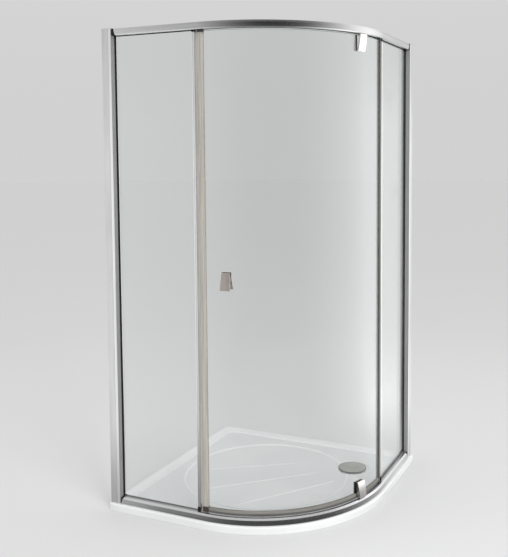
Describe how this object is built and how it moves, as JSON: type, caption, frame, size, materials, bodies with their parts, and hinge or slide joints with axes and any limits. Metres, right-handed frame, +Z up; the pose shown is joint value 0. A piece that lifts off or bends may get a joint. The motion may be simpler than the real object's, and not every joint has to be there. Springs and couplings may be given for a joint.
{
  "type": "quadrant shower enclosure",
  "caption": "Framed quadrant shower enclosure with two flat fixed panes and a curved pivot door, standing on a low quadrant tray with a waste.",
  "frame": {"origin": "middle of the tray's square footprint, on the floor", "axes": "+Z up, the walls stand at -X and +Y, the curved door faces +X -Y"},
  "size_m": [0.992, 0.992, 1.932],
  "materials": {
    "tray_white": "smooth white mineral cast, semi-gloss",
    "clear_glass": "clear toughened safety glass, 6 mm",
    "black_rubber": "matt black elastomer",
    "steel": "stainless, plain",
    "chrome": "satin chrome",
    "satin_steel": "satin stainless",
    "grey_plastic": "grey moulded plastic",
    "soft_seal": "translucent soft plastic",
    "clamp_profile": "translucent warm grey clamp profile",
    "satin_aluminium": "satin anodised extrusion"
  },
  "bodies": {
    "enclosure": {"shower_tray": "tray_white", "waste_gasket": "black_rubber", "waste_flange": "satin_steel", "bottom_rail": "satin_aluminium", "top_rail": "satin_aluminium", "sill_strip": "satin_aluminium", "wall_profile_left": "satin_aluminium", "wall_profile_right": "satin_aluminium", "frame_stile_left": "satin_aluminium", "frame_stile_right": "satin_aluminium", "stile_screws_left": "steel", "stile_screws_right": "steel", "upright_cap_left": "grey_plastic", "upright_cap_right": "grey_plastic", "fixed_glass_left": "clear_glass", "fixed_glass_right": "clear_glass", "stile_gasket_left": "black_rubber", "stile_gasket_right": "black_rubber", "post_left": "satin_aluminium", "post_right": "satin_aluminium", "post_seal_left": "soft_seal", "post_seal_right": "soft_seal", "end_piece_bottom_left": "black_rubber", "end_piece_bottom_right": "black_rubber", "end_piece_top_left": "black_rubber", "end_piece_top_right": "black_rubber", "rail_gasket_bottom_left": "black_rubber", "rail_gasket_bottom_right": "black_rubber", "rail_gasket_top_left": "black_rubber", "rail_gasket_top_right": "black_rubber", "pivot_bush_bottom": "grey_plastic", "pivot_bush_top": "grey_plastic"},
    "door": {"door_glass": "clear_glass", "door_closing_profile": "clamp_profile", "door_tail_profile": "clamp_profile", "door_magnet": "soft_seal", "drip_seal_long": "soft_seal", "drip_seal_short": "soft_seal", "handle_outer": "chrome", "handle_inner": "chrome", "handle_pad_outer": "black_rubber", "handle_pad_inner": "black_rubber", "handle_screws": "steel", "hinge_outer_plate_bottom": "chrome", "hinge_outer_plate_top": "chrome", "hinge_inner_plate_bottom": "chrome", "hinge_inner_plate_top": "chrome", "hinge_pad_outer_bottom": "black_rubber", "hinge_pad_outer_top": "black_rubber", "hinge_pad_inner_bottom": "black_rubber", "hinge_pad_inner_top": "black_rubber", "hinge_pin_bottom": "steel", "hinge_pin_top": "steel", "hinge_screws_bottom": "steel", "hinge_screws_top": "steel"},
    "cover": {"waste_cover": "satin_steel"}
  },
  "joints": [
    {"name": "door_swing", "type": "hinge", "parent": "enclosure", "child": "door", "pos_m": [0.44757, -0.10087, 0.98], "axis": [0, 0, 1], "range_deg": [0, 90]},
    {"name": "cover_lift", "type": "slide", "parent": "enclosure", "child": "cover", "axis": [0, 0, 1], "range_m": [0, 0.03]}
  ]
}
